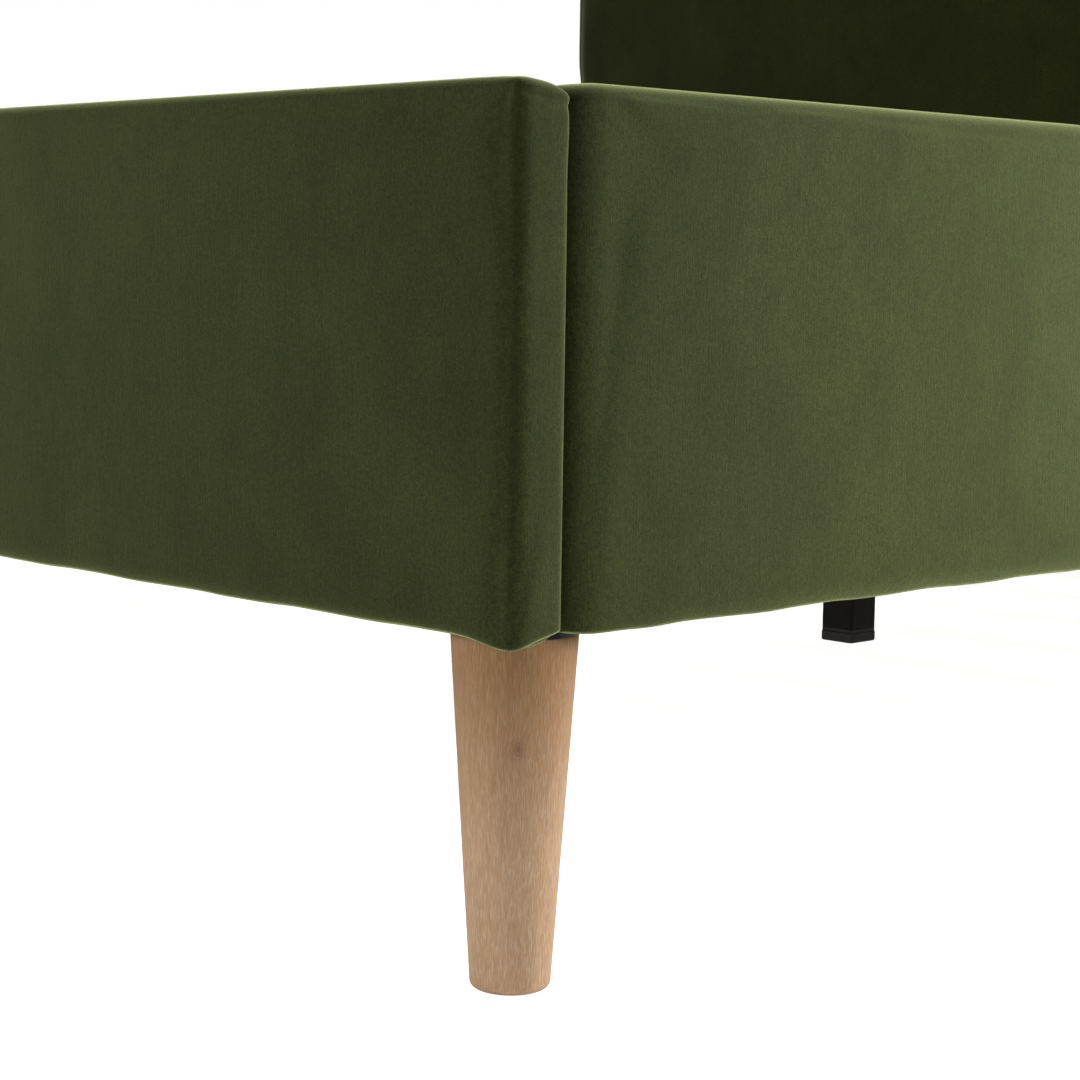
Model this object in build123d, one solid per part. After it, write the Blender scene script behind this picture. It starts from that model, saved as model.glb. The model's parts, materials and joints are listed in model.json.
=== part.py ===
from build123d import *
import os

# Upholstered bed. Millimetres, +Z up, headboard at +Y, foot end at -Y.
# The origin is on the floor, under the centre of the bed's outline.

# ---- overall sizes ----
mattress_width = 1930.0
mattress_length = 2030.0
mattress_side_gap = 7.0
mattress_foot_gap = 12.0
leg_height = 191.0
panel_height = 280.0
headboard_top = 1100.0
headboard_thickness = 80.0

# ---- padded panels: footboard and rails ----
panel_thickness = 38.0
cover_thickness = 2.0
face_foam = 10.0
edge_foam = 6.0
panel_round = 6.0
joint_gap = 1.0
lining_low = 30.0
lining_side_margin = 20.0
lining_below_top = 104.0

# ---- headboard ----
head_foam = 20.0
head_side_step = 8.0
head_step_bottom = 660.0
head_step_rise = 60.0
head_top_foam = 8.0
head_panel_thickness = 9.0
post_width = 100.0
top_rail_height = 60.0
mid_rail_height = 60.0
mid_rail_bottom = 640.0
base_rail_height = 70.0
bottom_rail_height = 60.0
back_cloth_margin = 15.0
head_round = 10.0

# ---- wooden legs and their fittings ----
leg_top_radius = 34.0
leg_foot_radius = 21.5
leg_foot_round = 4.0
leg_inside_panel = 8.0
rear_leg_inset_y = 46.0
plate_radius = 33.5
plate_thickness = 3.0
barrel_radius = 5.5
barrel_height = 14.0
m8_radius = 4.0
thread_clearance = 0.1
hanger_bolt_in_leg = 40.0
hanger_bolt_in_plate = 16.0
plate_screw_spacing = 36.0

# ---- corner joints ----
block_size = 60.0
block_clearance = 1.0
bracket_width = 60.0
bracket_height = 56.0
bracket_thickness = 3.0
bracket_above_block = 2.0
bracket_below_ledge = 4.0
m6_radius = 3.0
bolt_head_radius = 6.0
bolt_head_height = 4.0
bolt_spacing = 28.0
bolt_hole_clearance = 0.3
insert_radius = 5.0
insert_length = 13.0
bolt_reach = 6.0

# ---- slat deck ----
slat_count = 13
slat_width = 70.0
slat_thickness = 18.0
slat_round = 2.0
slat_end_clearance = 4.0
slat_end_margin = 70.0
slat_below_rail_top = 110.0
ledge_width = 28.0
ledge_height = 30.0
ledge_screw_count = 7
tape_width = 25.0
tape_thickness = 1.2
tape_offset = 800.0

# ---- centre beams and support legs ----
beam_width = 30.0
beam_height = 40.0
tube_wall = 1.5
beam_spacing = 600.0
hanger_thickness = 2.0
hanger_depth = 32.0
hanger_plate_margin = 8.0
hanger_clearance = 0.5
hanger_below_slats = 4.0
hanger_screw_beside_beam = 9.0
hanger_screw_rise = 20.0
support_tube = 40.0
support_tube_round = 3.0
support_plate_width = 50.0
support_plate_round = 6.0
support_plate_thickness = 3.0
support_plate_length = 100.0
support_bolt_spacing = 76.0
support_from_foot = 1170.0
rivet_nut_radius = 4.5
rivet_nut_bulge_radius = 6.0
rivet_nut_bulge = 3.0
rivet_nut_length = 12.0
plug_flange = 3.0
plug_depth = 26.0
plug_clearance = 0.2
pad_overhang = 1.0
pad_height = 10.0
pad_round = 5.0
pad_edge_round = 2.5
pad_gap = 0.5
stud_clearance = 0.4
stud_length = 34.0
stud_head_radius = 7.0
stud_head_height = 3.0
stud_head_bottom = 3.0
key_socket_flats = 5.0
key_socket_depth = 2.0
key_hole_radius = 3.5

# ---- wood screws ----
screw_radius = 2.0
screw_head_radius = 4.0
screw_head_height = 2.5
screw_tip_length = 4.0
screw_tip_radius = 0.5
plate_screw_length = 30.0
ledge_screw_length = 44.0
ledge_screw_margin = 120.0
block_screw_length = 74.0
block_screw_spacing = 30.0
block_screw_below_top = 15.0
foot_hanger_screw_length = 20.0
head_hanger_screw_length = 50.0

# ---- heights and places worked out from the sizes above ----
panel_bottom = leg_height + plate_thickness
panel_top = panel_bottom + panel_height
inner_width = mattress_width + 2 * mattress_side_gap
inner_length = mattress_length + mattress_foot_gap
base_width = inner_width + 2 * panel_thickness
total_length = panel_thickness + inner_length + headboard_thickness
foot_y = -total_length / 2
foot_inner_y = foot_y + panel_thickness
head_y = foot_inner_y + inner_length
back_y = head_y + headboard_thickness
board_thickness = panel_thickness - 2 * cover_thickness - face_foam
slat_top = panel_top - slat_below_rail_top
slat_bottom = slat_top - slat_thickness
leg_inset = panel_thickness + leg_inside_panel
bracket_top = slat_bottom - ledge_height - bracket_below_ledge
bracket_bottom = bracket_top - bracket_height
bracket_mid = bracket_bottom + bracket_height / 2
block_top = bracket_bottom - bracket_above_block
bolt_heights = (bracket_mid - bolt_spacing / 2, bracket_mid + bolt_spacing / 2)
beam_x = beam_spacing / 2
beam_bottom = slat_bottom - beam_height
hanger_screw_x = beam_width / 2 + hanger_screw_beside_beam
pad_size = support_tube + 2 * pad_overhang
support_y = foot_y + support_from_foot
head_panel_y = head_y + cover_thickness + head_foam
head_frame_y = head_panel_y + head_panel_thickness
frame_half_width = base_width / 2 - cover_thickness
frame_top = headboard_top - cover_thickness - head_top_foam
sides = (("left", -1), ("right", 1))
parts = {}


def block(x0, x1, y0, y1, z0, z1):
    """A box between two opposite corners, given in either order."""
    size = (abs(x1 - x0), abs(y1 - y0), abs(z1 - z0))
    middle = ((x0 + x1) / 2, (y0 + y1) / 2, (z0 + z1) / 2)
    return Pos(*middle) * Box(*size)


def rod(point, direction, radius, length):
    """A cylinder that starts at a point and runs along a direction."""
    plane = Plane(origin=point, z_dir=direction)
    return plane * Cylinder(radius, length, align=(Align.CENTER, Align.CENTER, Align.MIN))


def cone(point, direction, radius, end_radius, length):
    """A cone that starts at a point and runs along a direction."""
    plane = Plane(origin=point, z_dir=direction)
    align = (Align.CENTER, Align.CENTER, Align.MIN)
    return plane * Cone(radius, end_radius, length, align=align)


def along(point, direction, distance):
    return tuple(p + d * distance for p, d in zip(point, direction))


def group(solids):
    return Compound(children=[s.solid() if not isinstance(s, Solid) else s for s in solids])


# ---- fasteners: each list holds (point under the head, direction) ----

def wood_screw(point, direction, length):
    """A countersunk screw whose head lies flush at the point."""
    head = cone(point, direction, screw_head_radius, screw_radius, screw_head_height)
    shank_start = along(point, direction, screw_head_height)
    shank_length = length - screw_head_height - screw_tip_length
    shank = rod(shank_start, direction, screw_radius, shank_length)
    tip_start = along(point, direction, length - screw_tip_length)
    return head + shank + cone(tip_start, direction, screw_radius, screw_tip_radius, screw_tip_length)


def m6_bolt(point, direction, length):
    """A flat-headed bolt whose head seats on the surface at the point."""
    back = tuple(-d for d in direction)
    head = rod(point, back, bolt_head_radius, bolt_head_height)
    return head + rod(point, direction, m6_radius, length)


def bolt_hole(point, direction, length):
    return rod(point, direction, m6_radius + bolt_hole_clearance, length)


def insert_hole(point, direction):
    """The bore that a threaded insert fills, and the bolt's room past it."""
    bolt_room = bolt_hole(point, direction, insert_length + bolt_reach)
    return bolt_room + rod(point, direction, insert_radius, insert_length)


def threaded_insert(point, direction):
    body = rod(point, direction, insert_radius, insert_length)
    return body - rod(point, direction, m6_radius + thread_clearance, insert_length)


def bracket_bolt_places():
    """Every corner joint bolt: where its head seats, its direction and what it must cross."""
    places = []
    reach = bracket_thickness + bracket_width / 2
    for _, side in sides:
        rail_face = side * inner_width / 2
        for y, inward in ((foot_inner_y, 1), (head_y, -1)):
            for z in bolt_heights:
                on_rail = (rail_face - side * bracket_thickness, y + inward * reach, z)
                on_end = (rail_face - side * reach, y + inward * bracket_thickness, z)
                places.append(("rail", on_rail, (side, 0, 0)))
                places.append(("foot" if inward > 0 else "head", on_end, (0, -inward, 0)))
    return places


def crossing(kind):
    """The padding between a bracket and the wood that holds the insert."""
    if kind == "head":
        return cover_thickness + head_foam
    return cover_thickness


def bolt_cutters(kinds, side=0):
    """Clearance holes and insert bores for the corner bolts of the chosen joints."""
    cutters = []
    for kind, point, direction in bracket_bolt_places():
        if kind not in kinds or (side and side * point[0] < 0):
            continue
        wood = along(point, direction, bracket_thickness + crossing(kind))
        cutters.append(bolt_hole(point, direction, bracket_thickness + crossing(kind)))
        cutters.append(insert_hole(wood, direction))
    return cutters


def leg_places():
    """Name, centre and screw directions of each wooden leg. No screw goes up into a rail."""
    corners = [(-1, -1), (-1, 1), (1, -1), (1, 1)]
    places = []
    for name, side in sides:
        x = side * (base_width / 2 - leg_inset)
        off_rail = [c for c in corners if c != (side, 1)]
        places.append((f"front_{name}_leg", x, foot_y + leg_inset, off_rail))
        places.append((f"rear_{name}_leg", x, head_y + rear_leg_inset_y, corners))
    return places


def plate_screw_places():
    half = plate_screw_spacing / 2
    places = []
    for _, x, y, corners in leg_places():
        for dx, dy in corners:
            point = (x + dx * half, y + dy * half, leg_height)
            places.append((point, (0, 0, 1), plate_screw_length))
    return places


def ledge_screw_places(side):
    first = foot_inner_y + ledge_screw_margin
    last = head_y - ledge_screw_margin
    step = (last - first) / (ledge_screw_count - 1)
    x = side * (inner_width / 2 - ledge_width)
    z = slat_bottom - ledge_height / 2
    rows = range(ledge_screw_count)
    return [((x, first + step * i, z), (side, 0, 0), ledge_screw_length) for i in rows]


def block_screw_places(side):
    """Screws through each corner block into the footboard's board, above the leg's barrel."""
    y = foot_inner_y + block_size
    z = block_top - block_screw_below_top
    middle = side * (inner_width / 2 - block_clearance - block_size / 2)
    half = block_screw_spacing / 2
    return [((middle + d * half, y, z), (0, -1, 0), block_screw_length) for d in (-1, 1)]


def hanger_screw_places():
    places = []
    z_mid = beam_bottom + beam_height / 2
    ends = ((foot_inner_y, 1, foot_hanger_screw_length), (head_y, -1, head_hanger_screw_length))
    for _, side in sides:
        for face, inward, length in ends:
            for dx in (-1, 1):
                for dz in (-1, 1):
                    x = side * beam_x + dx * hanger_screw_x
                    point = (x, face + inward * hanger_thickness, z_mid + dz * hanger_screw_rise / 2)
                    places.append((point, (0, -inward, 0), length))
    return places


def screw_cutters(places):
    return [wood_screw(*place) for place in places]


def cut(solid, cutters):
    for cutter in cutters:
        solid = solid - cutter
    return solid


# ---- padded panels, drawn with the outer face at v = 0 and the bottom edge at w = 0 ----

def panel_profile(v0, v1, w0, w1, radius):
    """A panel's section: rounded on three corners, square at the inner bottom edge."""
    shape = Plane.YZ * Rectangle(v1 - v0, w1 - w0)
    square = shape.vertices().sort_by(lambda p: p.Z - p.Y)[0]
    rounded = [p for p in shape.vertices() if p != square]
    return Pos(0, (v0 + v1) / 2, (w0 + w1) / 2) * fillet(rounded, radius)


def padded_form(length, inset, radius):
    """The closed outer form of a padded panel, drawn in from its faces by an inset."""
    half = length / 2 - inset
    section = panel_profile(inset, panel_thickness - inset, inset, panel_height - inset, radius)
    form = extrude(section, amount=half, dir=(1, 0, 0), both=True)
    ends = form.edges().filter_by(lambda e: abs(abs(e.center().X) - half) < 0.01)
    rim = ends.filter_by(lambda e: e.center().Z > inset + radius / 4)
    return fillet(rim, radius)


def board_form(length):
    end = cover_thickness + edge_foam
    half = length / 2 - end
    inner_v = panel_thickness - cover_thickness
    top = panel_height - end
    return block(-half, half, inner_v - board_thickness, inner_v, cover_thickness, top)


def lining_form(length):
    half = length / 2 - lining_side_margin
    inner_v = panel_thickness - cover_thickness
    top = panel_height - lining_below_top
    return block(-half, half, inner_v, panel_thickness, lining_low, top)


def padded_panel(name, length, place, cutters):
    """Board, foam, cover and lining of one panel, put in place and drilled."""
    outer = padded_form(length, 0, panel_round)
    content = padded_form(length, cover_thickness, panel_round - cover_thickness)
    board = board_form(length)
    lining = lining_form(length)
    pieces = {
        "board": board,
        "foam": content - board,
        "cover": outer - content - lining,
        "lining": lining,
    }
    for part, solid in pieces.items():
        parts[f"{name}_{part}"] = cut(place * solid, cutters)


def build_footboard():
    cutters = bolt_cutters(("foot",))
    for _, side in sides:
        cutters += screw_cutters(block_screw_places(side))
    cutters += screw_cutters(hanger_screw_places())
    cutters += screw_cutters(plate_screw_places())
    place = Pos(0, foot_y, panel_bottom)
    padded_panel("footboard", base_width, place, cutters)


def build_rail(name, side):
    length = inner_length - 2 * joint_gap
    cutters = bolt_cutters(("rail",), side) + screw_cutters(ledge_screw_places(side))
    turn = 90 if side > 0 else -90
    middle = (foot_inner_y + head_y) / 2
    place = Pos(side * base_width / 2, middle, panel_bottom) * Rot(0, 0, turn)
    padded_panel(f"{name}_rail", length, place, cutters)


def build_ledge(name, side):
    start = foot_inner_y + 2 * joint_gap
    end = head_y - 2 * joint_gap
    outer = side * inner_width / 2
    inner = outer - side * ledge_width
    ledge = block(outer, inner, start, end, slat_bottom - ledge_height, slat_bottom)
    parts[f"{name}_slat_ledge"] = cut(ledge, screw_cutters(ledge_screw_places(side)))


# ---- headboard ----

def head_form(inset, radius):
    """The headboard's closed outer form: padded wider above a step near the mattress top."""
    narrow = base_width / 2 - inset
    wide = base_width / 2 + head_side_step - inset
    front = head_y + inset
    back = back_y - inset
    bottom = panel_bottom + inset
    step = head_step_bottom + inset
    widened = step + head_step_rise
    top = headboard_top - inset
    outline = Polyline(
        (-narrow, bottom), (narrow, bottom), (narrow, step), (wide, widened),
        (wide, top), (-wide, top), (-wide, widened), (-narrow, step), close=True,
    )
    plane = Plane(origin=(0, front, 0), x_dir=(1, 0, 0), z_dir=(0, -1, 0))
    form = extrude(plane * make_face(outline), amount=-(back - front))
    upper = form.edges().filter_by(lambda e: e.center().Z > widened + head_round)
    return fillet(upper, radius)


def head_content_boxes():
    half = frame_half_width
    back = back_y - cover_thickness
    low = panel_bottom + cover_thickness
    bottom_top = low + bottom_rail_height
    base_low = slat_bottom - beam_height / 2 - base_rail_height / 2
    base_top = base_low + base_rail_height
    inner = half - post_width
    mid_top = mid_rail_bottom + mid_rail_height
    top_low = frame_top - top_rail_height
    return {
        "headboard_bottom_rail": block(-half, half, head_panel_y, back, low, bottom_top),
        "headboard_panel": block(-half, half, head_panel_y, head_frame_y, bottom_top, frame_top),
        "headboard_left_post": block(-half, -inner, head_frame_y, back, bottom_top, frame_top),
        "headboard_right_post": block(inner, half, head_frame_y, back, bottom_top, frame_top),
        "headboard_base_rail": block(-inner, inner, head_frame_y, back, base_low, base_top),
        "headboard_mid_rail": block(-inner, inner, head_frame_y, back, mid_rail_bottom, mid_top),
        "headboard_top_rail": block(-inner, inner, head_frame_y, back, top_low, frame_top),
    }


def build_headboard():
    cutters = bolt_cutters(("head",))
    cutters += screw_cutters(hanger_screw_places())
    cutters += screw_cutters(plate_screw_places())
    for _, x, y, _ in leg_places():
        cutters.append(rod((x, y, panel_bottom), (0, 0, 1), barrel_radius, barrel_height))
    outer = head_form(0, head_round)
    content = head_form(cover_thickness, head_round - cover_thickness)
    low = panel_bottom + cover_thickness
    half = frame_half_width
    framed = block(-half, half, head_panel_y, back_y - cover_thickness, low, frame_top)
    cloth_half = base_width / 2 - back_cloth_margin
    cloth = block(
        -cloth_half, cloth_half, back_y - cover_thickness, back_y,
        panel_bottom + back_cloth_margin, headboard_top - back_cloth_margin,
    )
    wood = head_content_boxes()
    wood["headboard_foam"] = content - framed
    wood["headboard_cover"] = outer - content - cloth
    wood["headboard_back_cloth"] = cloth
    for name, solid in wood.items():
        parts[name] = cut(solid, cutters)


# ---- wooden legs ----

def build_leg(name, x, y):
    foot = cone((x, y, 0), (0, 0, 1), leg_foot_radius, leg_top_radius, leg_height)
    sole = foot.edges().sort_by(Axis.Z)[0]
    leg = fillet(sole, leg_foot_round)
    parts[name] = leg - rod((x, y, leg_height), (0, 0, -1), m8_radius, hanger_bolt_in_leg)


def leg_plate(x, y):
    disc = rod((x, y, leg_height), (0, 0, 1), plate_radius, plate_thickness)
    barrel = rod((x, y, panel_bottom), (0, 0, 1), barrel_radius, barrel_height)
    bore = rod((x, y, leg_height), (0, 0, 1), m8_radius + thread_clearance, plate_thickness + barrel_height)
    plate = disc + barrel - bore
    return cut(plate, screw_cutters(plate_screw_places()))


def build_legs():
    plates = []
    bolts = []
    for name, x, y, _ in leg_places():
        build_leg(name, x, y)
        plates.append(leg_plate(x, y))
        length = hanger_bolt_in_leg + hanger_bolt_in_plate
        bolts.append(rod((x, y, leg_height - hanger_bolt_in_leg), (0, 0, 1), m8_radius, length))
    parts["leg_plates"] = group(plates)
    parts["leg_bolts"] = group(bolts)


# ---- corner joints ----

def build_corner_blocks():
    blocks = []
    for _, side in sides:
        outer = side * (inner_width / 2 - block_clearance)
        inner = outer - side * block_size
        wood = block(outer, inner, foot_inner_y, foot_inner_y + block_size, panel_bottom, block_top)
        x = side * (base_width / 2 - leg_inset)
        barrel = rod((x, foot_y + leg_inset, panel_bottom), (0, 0, 1), barrel_radius, barrel_height)
        cutters = [barrel] + screw_cutters(block_screw_places(side) + plate_screw_places())
        blocks.append(cut(wood, cutters))
    parts["corner_blocks"] = group(blocks)


def corner_bracket(side, face, inward):
    x = side * inner_width / 2
    width = bracket_width
    thick = bracket_thickness
    on_rail = block(x, x - side * thick, face, face + inward * width, bracket_bottom, bracket_top)
    on_end = block(x, x - side * width, face, face + inward * thick, bracket_bottom, bracket_top)
    bracket = on_rail + on_end
    holes = [bolt_hole(p, d, bracket_thickness) for _, p, d in bracket_bolt_places()]
    return cut(bracket, holes)


def build_corner_joints():
    brackets = []
    for _, side in sides:
        for face, inward in ((foot_inner_y, 1), (head_y, -1)):
            brackets.append(corner_bracket(side, face, inward))
    parts["corner_brackets"] = group(brackets)
    bolts = []
    inserts = []
    for kind, point, direction in bracket_bolt_places():
        depth = bracket_thickness + crossing(kind)
        bolts.append(m6_bolt(point, direction, depth + insert_length))
        inserts.append(threaded_insert(along(point, direction, depth), direction))
    for _, side in sides:
        inserts += [rivet_nut(point) for point in support_bolt_places(side)]
    parts["corner_bolts"] = group(bolts)
    parts["threaded_inserts"] = group(inserts)


def build_wood_screws():
    places = plate_screw_places() + hanger_screw_places()
    for _, side in sides:
        places += ledge_screw_places(side) + block_screw_places(side)
    parts["wood_screws"] = group(screw_cutters(places))


# ---- slat deck ----

def build_slats():
    half = inner_width / 2 - slat_end_clearance
    first = foot_inner_y + slat_end_margin
    step = (inner_length - 2 * slat_end_margin) / (slat_count - 1)
    for i in range(slat_count):
        y = first + step * i
        slat = block(-half, half, y - slat_width / 2, y + slat_width / 2, slat_bottom, slat_top)
        parts[f"slat_{i + 1:02d}"] = fillet(slat.edges().filter_by(Axis.X), slat_round)
    start = first - slat_width / 2
    end = start + step * (slat_count - 1) + slat_width
    tapes = []
    for x in (-tape_offset, 0, tape_offset):
        half = tape_width / 2
        tapes.append(block(x - half, x + half, start, end, slat_bottom - tape_thickness, slat_bottom))
    parts["slat_tapes"] = group(tapes)


# ---- centre beams and support legs ----

def support_bolt_places(side):
    x = side * beam_x
    z = beam_bottom - support_plate_thickness
    return [(x, support_y + d * support_bolt_spacing / 2, z) for d in (-1, 1)]


def build_beam(name, side):
    x = side * beam_x
    gap = hanger_thickness + hanger_clearance
    start = foot_inner_y + gap
    end = head_y - gap
    outer = block(x - beam_width / 2, x + beam_width / 2, start, end, beam_bottom, slat_bottom)
    outer = fillet(outer.edges().filter_by(Axis.Y), support_tube_round)
    half = beam_width / 2 - tube_wall
    inner = block(x - half, x + half, start, end, beam_bottom + tube_wall, slat_bottom - tube_wall)
    inner = fillet(inner.edges().filter_by(Axis.Y), support_tube_round - tube_wall)
    depth = support_plate_thickness + 2 * tube_wall
    holes = [rod(p, (0, 0, 1), rivet_nut_radius, depth) for p in support_bolt_places(side)]
    parts[f"{name}_beam"] = cut(outer - inner, holes)


def beam_hanger(x, face, inward):
    """A stirrup: a back plate with a U-shaped cradle that the beam's end drops into."""
    inner = beam_width / 2 + hanger_clearance
    outer = inner + hanger_thickness
    low = beam_bottom - hanger_thickness
    high = slat_bottom - hanger_below_slats
    half = hanger_screw_x + hanger_plate_margin
    plate = block(x - half, x + half, face, face + inward * hanger_thickness, low, high)
    cradle = block(x - outer, x + outer, face, face + inward * hanger_depth, low, high)
    start = face + inward * hanger_thickness
    room = block(x - inner, x + inner, start, face + inward * hanger_depth, beam_bottom, high)
    return plate + (cradle - room)


def build_hangers():
    hangers = []
    for _, side in sides:
        for face, inward in ((foot_inner_y, 1), (head_y, -1)):
            hanger = beam_hanger(side * beam_x, face, inward)
            hangers.append(cut(hanger, screw_cutters(hanger_screw_places())))
    parts["beam_hangers"] = group(hangers)


def square_bar(x, y, size, z0, z1, radius):
    bar = block(x - size / 2, x + size / 2, y - size / 2, y + size / 2, z0, z1)
    return fillet(bar.edges().filter_by(Axis.Z), radius)


def build_support_leg(name, side):
    x = side * beam_x
    plate_low = beam_bottom - support_plate_thickness
    tube_low = pad_height + pad_gap + plug_flange
    tube = square_bar(x, support_y, support_tube, tube_low, plate_low, support_tube_round)
    bore_size = support_tube - 2 * tube_wall
    bore = square_bar(x, support_y, bore_size, tube_low, plate_low, support_tube_round - tube_wall)
    half_x = support_plate_width / 2
    half_y = support_plate_length / 2
    plate = block(x - half_x, x + half_x, support_y - half_y, support_y + half_y, plate_low, beam_bottom)
    plate = fillet(plate.edges().filter_by(Axis.Z), support_plate_round)
    holes = [bolt_hole(p, (0, 0, 1), support_plate_thickness) for p in support_bolt_places(side)]
    parts[f"{name}_support_leg"] = cut(tube - bore + plate, holes)


def rivet_nut(point):
    """A flush nut set in the beam's underside, with the bulge that setting it leaves inside."""
    start = along(point, (0, 0, 1), support_plate_thickness)
    body = rod(start, (0, 0, 1), rivet_nut_radius, rivet_nut_length)
    bulge = rod(along(start, (0, 0, 1), tube_wall), (0, 0, 1), rivet_nut_bulge_radius, rivet_nut_bulge)
    return body + bulge - rod(start, (0, 0, 1), m6_radius + thread_clearance, rivet_nut_length)


def build_support_leg_bolts():
    length = support_plate_thickness + rivet_nut_length
    places = [p for _, side in sides for p in support_bolt_places(side)]
    parts["support_leg_bolts"] = group([m6_bolt(p, (0, 0, 1), length) for p in places])


def end_plug(side):
    """A plastic plug pressed into the tube, with the threaded hole for the levelling stud."""
    x = side * beam_x
    low = pad_height + pad_gap
    flange = square_bar(x, support_y, support_tube, low, low + plug_flange, support_tube_round)
    size = support_tube - 2 * tube_wall - 2 * plug_clearance
    top = low + plug_flange + plug_depth
    body = square_bar(x, support_y, size, low + plug_flange, top, support_tube_round - tube_wall)
    bore = rod((x, support_y, low), (0, 0, 1), m8_radius + stud_clearance, plug_flange + plug_depth)
    return flange + body - bore


def build_foot_pad(name, side):
    x = side * beam_x
    pad = square_bar(x, support_y, pad_size, 0, pad_height, pad_round)
    sole = pad.faces().sort_by(Axis.Z)[0]
    pad = fillet(sole.edges(), pad_edge_round)
    cavity_low = stud_head_bottom - stud_clearance
    cavity_height = stud_head_height + 2 * stud_clearance
    cavity = rod((x, support_y, cavity_low), (0, 0, 1), stud_head_radius + stud_clearance, cavity_height)
    neck = rod((x, support_y, cavity_low), (0, 0, 1), m8_radius + stud_clearance, pad_height)
    key_hole = rod((x, support_y, 0), (0, 0, 1), key_hole_radius, stud_head_bottom)
    parts[f"{name}_foot_pad"] = pad - cavity - neck - key_hole


def build_foot_stud(name, side):
    x = side * beam_x
    base = (x, support_y, stud_head_bottom)
    head = rod(base, (0, 0, 1), stud_head_radius, stud_head_height)
    shank = rod(base, (0, 0, 1), m8_radius, stud_length)
    hexagon = RegularPolygon(key_socket_flats / 2, 6, major_radius=False)
    parts[f"{name}_foot_stud"] = head + shank - Pos(*base) * extrude(hexagon, key_socket_depth)


# ---- build ----

def build_all():
    build_footboard()
    for name, side in sides:
        build_rail(name, side)
        build_ledge(name, side)
    build_headboard()
    build_legs()
    build_corner_blocks()
    build_corner_joints()
    build_wood_screws()
    build_slats()
    build_hangers()
    build_support_leg_bolts()
    for name, side in sides:
        build_beam(name, side)
        build_support_leg(name, side)
        build_foot_pad(name, side)
        build_foot_stud(name, side)
    parts["leg_end_plugs"] = group([end_plug(side) for _, side in sides])


def write_all():
    os.makedirs("parts", exist_ok=True)
    for name, solid in parts.items():
        export_step(solid, f"parts/{name}.step")


build_all()
write_all()
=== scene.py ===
import json
import math

import bmesh
import bpy
import numpy as np
from bpy.props import FloatProperty, FloatVectorProperty, PointerProperty
from mathutils import Matrix, Vector


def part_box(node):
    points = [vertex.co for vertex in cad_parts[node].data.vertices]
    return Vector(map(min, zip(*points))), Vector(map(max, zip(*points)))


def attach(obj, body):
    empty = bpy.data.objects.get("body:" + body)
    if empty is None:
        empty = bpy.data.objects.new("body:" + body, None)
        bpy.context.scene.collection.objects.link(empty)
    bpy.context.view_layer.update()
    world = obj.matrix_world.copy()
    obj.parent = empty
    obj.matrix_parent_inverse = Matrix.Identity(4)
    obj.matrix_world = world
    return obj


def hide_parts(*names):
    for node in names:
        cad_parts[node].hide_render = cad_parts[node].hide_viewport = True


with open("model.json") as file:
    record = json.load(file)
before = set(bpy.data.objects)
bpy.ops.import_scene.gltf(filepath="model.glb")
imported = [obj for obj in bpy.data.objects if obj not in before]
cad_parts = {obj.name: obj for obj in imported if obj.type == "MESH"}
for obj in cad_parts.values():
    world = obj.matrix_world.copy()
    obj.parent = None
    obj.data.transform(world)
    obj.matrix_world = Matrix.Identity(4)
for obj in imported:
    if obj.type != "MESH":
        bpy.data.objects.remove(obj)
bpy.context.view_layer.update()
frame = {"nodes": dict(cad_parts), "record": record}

bl_info = {
    "name": "Upholstered bed",
    "version": (1, 0, 0),
    "blender": (4, 5, 0),
    "location": "View3D > Sidebar > Bed",
    "description": "Velvet panels, linings, limed legs and finishes built on the frame of a bed",
    "category": "Object",
}

# The bed stands on the floor with its headboard at +Y. Sizes are in metres.
UP = Vector((0, 0, 1))


# ---- settings ----

def colour_setting(name, description, default):
    return FloatVectorProperty(
        name=name, description=description, default=default, subtype="COLOR", size=3, min=0, max=1,
    )


def length_setting(name, description, default):
    return FloatProperty(name=name, description=description, default=default, min=0, unit="LENGTH")


def strength_setting(name, description, default):
    return FloatProperty(name=name, description=description, default=default, min=0)


class BedFabricSettings(bpy.types.PropertyGroup):
    velvet: colour_setting("Velvet", "Colour down in the pile", (0.0205, 0.0250, 0.0064))
    velvet_light: colour_setting(
        "Velvet, brushed", "Colour where the pile leans away", (0.0320, 0.0380, 0.0104),
    )
    velvet_sheen: colour_setting("Velvet sheen", "Colour of the pile's tips", (0.65, 0.74, 0.32))
    velvet_backing: colour_setting("Velvet backing", "Colour of the fabric's raw edge", (0.20, 0.21, 0.045))
    lining: colour_setting("Lining", "Colour of the non-woven lining", (0.012, 0.012, 0.013))
    webbing: colour_setting("Webbing", "Colour of the slats' tapes", (0.035, 0.035, 0.040))
    swell: length_setting("Swell", "How far padding pushes the velvet out", 0.0022)
    head_swell: length_setting("Headboard swell", "How far the headboard's padding pushes out", 0.006)
    edge_round: length_setting("Edge rounding", "Radius of a panel's long edges", 0.006)
    corner_round: length_setting("Corner rounding", "Radius where the velvet wraps round an end", 0.0075)
    head_round: length_setting("Headboard rounding", "Radius of the headboard's edges", 0.010)
    widening_bottom: length_setting("Widening starts", "Height where the headboard begins to widen", 0.660)
    widening_top: length_setting("Widening ends", "Height where the headboard is at its widest", 0.720)


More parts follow.
